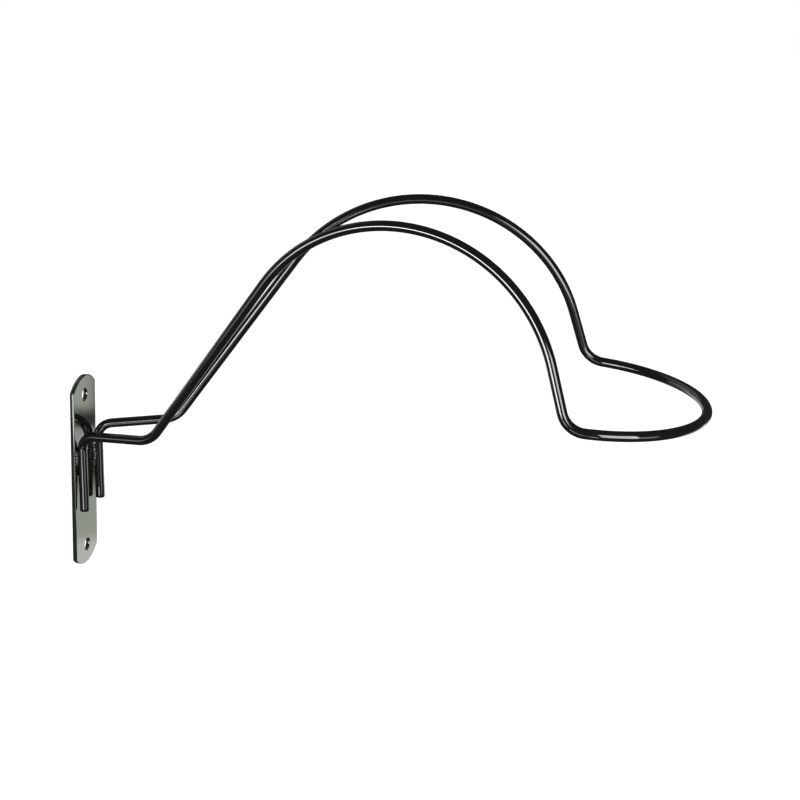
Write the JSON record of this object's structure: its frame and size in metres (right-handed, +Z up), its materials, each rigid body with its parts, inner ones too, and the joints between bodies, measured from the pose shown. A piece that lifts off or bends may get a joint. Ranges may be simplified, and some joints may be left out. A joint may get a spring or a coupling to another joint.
{
  "type": "helmet hook",
  "caption": "Wall hook for a riding helmet: a narrow screw plate carries a bent rod that climbs into a wide arch and ends in a flat round hoop.",
  "frame": {"origin": "centre of the wall plate's back face, on the wall's surface", "axes": "+X out of the wall towards the hoop, +Y sideways along the wall, +Z up"},
  "size_m": [0.3911, 0.1518, 0.2529],
  "materials": {
    "plate_enamel": "semi-gloss black enamel on sheet steel",
    "rod_enamel": "high-gloss black enamel on steel rod",
    "weld_enamel": "gloss black enamel over a rippled weld bead"
  },
  "bodies": {
    "root": {"wall_plate": "plate_enamel", "hook_rod": "rod_enamel", "weld_near_inner": "weld_enamel", "weld_near_outer": "weld_enamel", "weld_far_inner": "weld_enamel", "weld_far_outer": "weld_enamel"}
  },
  "joints": []
}
